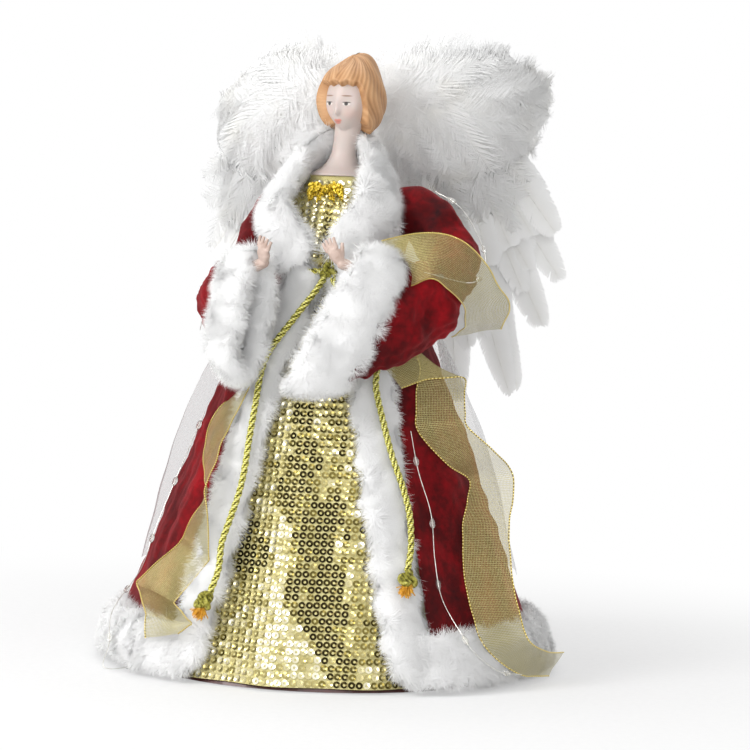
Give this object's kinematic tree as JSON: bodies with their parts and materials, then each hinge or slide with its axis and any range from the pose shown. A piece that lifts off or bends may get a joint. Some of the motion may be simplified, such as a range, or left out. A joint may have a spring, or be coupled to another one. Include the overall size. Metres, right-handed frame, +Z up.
{
  "type": "angel tree topper",
  "caption": "Robed angel with feathered wings, plush trim and gold cord on a hollow cone that slips over the tip of a tree; arms bend, wings swing.",
  "frame": {"origin": "middle of the cone's open base, in the plane of its rim, where the tip of the tree enters", "axes": "+Z up along the cone's axis; the figure faces -Y; +X towards its own left hand"},
  "size_m": [0.224, 0.2131, 0.3026],
  "materials": {
    "maroon_card": "glossy dark maroon foil over card",
    "white_card": "plain white card",
    "wire": "bright wire",
    "porcelain": "matt bisque with painted features",
    "moulded_hair": "painted strawberry blond",
    "gold_sequins": "gold mesh cloth covered in ring sequins",
    "red_velvet": "crimson crushed velvet",
    "white_plush": "long white plush",
    "gold_foil": "bright gold braid",
    "gold_cord": "twisted greenish gold cord",
    "sheer_white": "sheer white organza",
    "gold_mesh": "sheer gold mesh ribbon with bright beaded edges",
    "white_feather": "white goose feathers and marabou down",
    "foam_pad": "foam fixing pad",
    "black_plastic": "fine matt moulding",
    "cell_steel": "bright steel",
    "white_plastic": "satin",
    "light_wire": "fine silver wire with clear resin drops"
  },
  "bodies": {
    "figure": {"base_cone": "maroon_card", "torso_form": "white_card", "wing_wire_left": "wire", "wing_wire_right": "wire", "porcelain_head": "porcelain", "hair": "moulded_hair", "dress_skirt": "gold_sequins", "dress_bodice": "gold_sequins", "robe": "red_velvet", "fur_band_left": "white_plush", "fur_band_right": "white_plush", "fur_hem": "white_plush", "fur_collar": "white_plush", "neck_bow": "gold_foil", "belt_cord": "gold_cord", "cord_tail_right": "gold_cord", "cord_knot_right": "gold_cord", "cord_tail_left": "gold_cord", "cord_knot_left": "gold_cord", "veil": "sheer_white", "ribbon_tail_left": "gold_mesh", "ribbon_tail_right": "gold_mesh", "battery_pad": "foam_pad", "battery_case": "black_plastic", "coin_cell_lower": "cell_steel", "coin_cell_upper": "cell_steel", "light_string_front_right": "light_wire", "light_string_front_left": "light_wire", "light_string_back": "light_wire"},
    "left_arm": {"forearm_left": "porcelain", "arm_wire_left": "wire", "sleeve_left": "red_velvet", "cuff_left": "white_plush", "ribbon_loop_left": "gold_mesh", "light_string_left_sleeve": "light_wire"},
    "right_arm": {"forearm_right": "porcelain", "arm_wire_right": "wire", "sleeve_right": "red_velvet", "cuff_right": "white_plush", "light_string_right_sleeve": "light_wire"},
    "left_wing": {"wing_card_left": "white_card", "wing_down_left": "white_feather", "wing_coverts_left": "white_feather", "feather_1_left": "white_feather", "feather_2_left": "white_feather", "feather_3_left": "white_feather", "feather_4_left": "white_feather", "feather_5_left": "white_feather", "feather_6_left": "white_feather"},
    "right_wing": {"wing_card_right": "white_card", "wing_down_right": "white_feather", "wing_coverts_right": "white_feather", "feather_1_right": "white_feather", "feather_2_right": "white_feather", "feather_3_right": "white_feather", "feather_4_right": "white_feather", "feather_5_right": "white_feather", "feather_6_right": "white_feather"},
    "cell_cover": {"battery_cover": "black_plastic"},
    "light_switch": {"switch_knob": "white_plastic"}
  },
  "joints": [
    {"name": "left_arm_raise", "type": "hinge", "parent": "figure", "child": "left_arm", "pos_m": [0.02675, 0, 0.223], "axis": [0, -1, 0], "range_deg": [0, 20]},
    {"name": "right_arm_raise", "type": "hinge", "parent": "figure", "child": "right_arm", "pos_m": [-0.02675, 0, 0.223], "axis": [0, 1, 0], "range_deg": [0, 20]},
    {"name": "left_wing_swing", "type": "hinge", "parent": "figure", "child": "left_wing", "pos_m": [0.009, 0.03509, 0.216], "axis": [0, 0, 1], "range_deg": [-15, 25]},
    {"name": "right_wing_swing", "type": "hinge", "parent": "figure", "child": "right_wing", "pos_m": [-0.009, 0.03509, 0.216], "axis": [0, 0, -1], "range_deg": [-15, 25]},
    {"name": "cell_cover_slide", "type": "slide", "parent": "figure", "child": "cell_cover", "axis": [-0.2918, 0.1361, -0.9468], "range_m": [0, 0.024]},
    {"name": "light_switch_slide", "type": "slide", "parent": "figure", "child": "light_switch", "axis": [0.4226, 0.9063, 0], "range_m": [0, 0.0025]}
  ]
}
